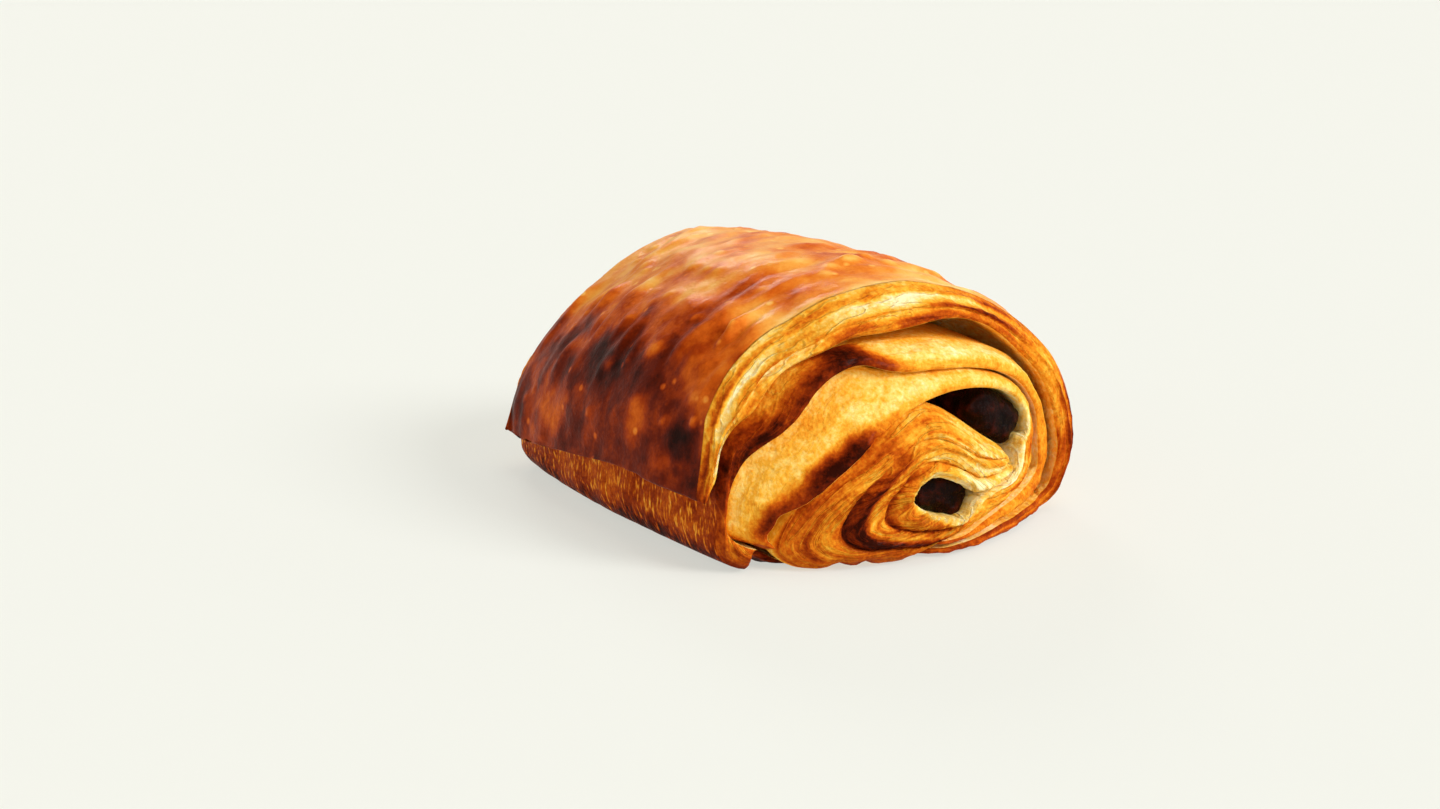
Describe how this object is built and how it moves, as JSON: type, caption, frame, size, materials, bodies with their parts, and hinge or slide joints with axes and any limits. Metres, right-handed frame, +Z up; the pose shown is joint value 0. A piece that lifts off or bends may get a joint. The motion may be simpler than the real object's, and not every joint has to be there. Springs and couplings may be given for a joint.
{
  "type": "pain au chocolat",
  "caption": "Rolled laminated pastry with a glossy egg-washed crust, its open spiral ends showing dark chocolate batons, lying on a flat base.",
  "frame": {"origin": "on the resting plane, under the middle of the bounding box", "axes": "+Y along the roll's axis, with the fuller spiral end at -Y; +Z up from the flat base; +X to the right as seen from the -Y end, with the sheet's outer seam on the -X side"},
  "size_m": [0.0816, 0.0928, 0.0441],
  "materials": {
    "baked_dough": "egg-washed crust, satin to glossy, with pale porous cut edges",
    "dark_chocolate": "rough-broken dark chocolate with a soft gloss"
  },
  "bodies": {
    "root": {"rolled_dough": "baked_dough", "lower_baton": "dark_chocolate", "upper_baton": "dark_chocolate"}
  },
  "joints": []
}
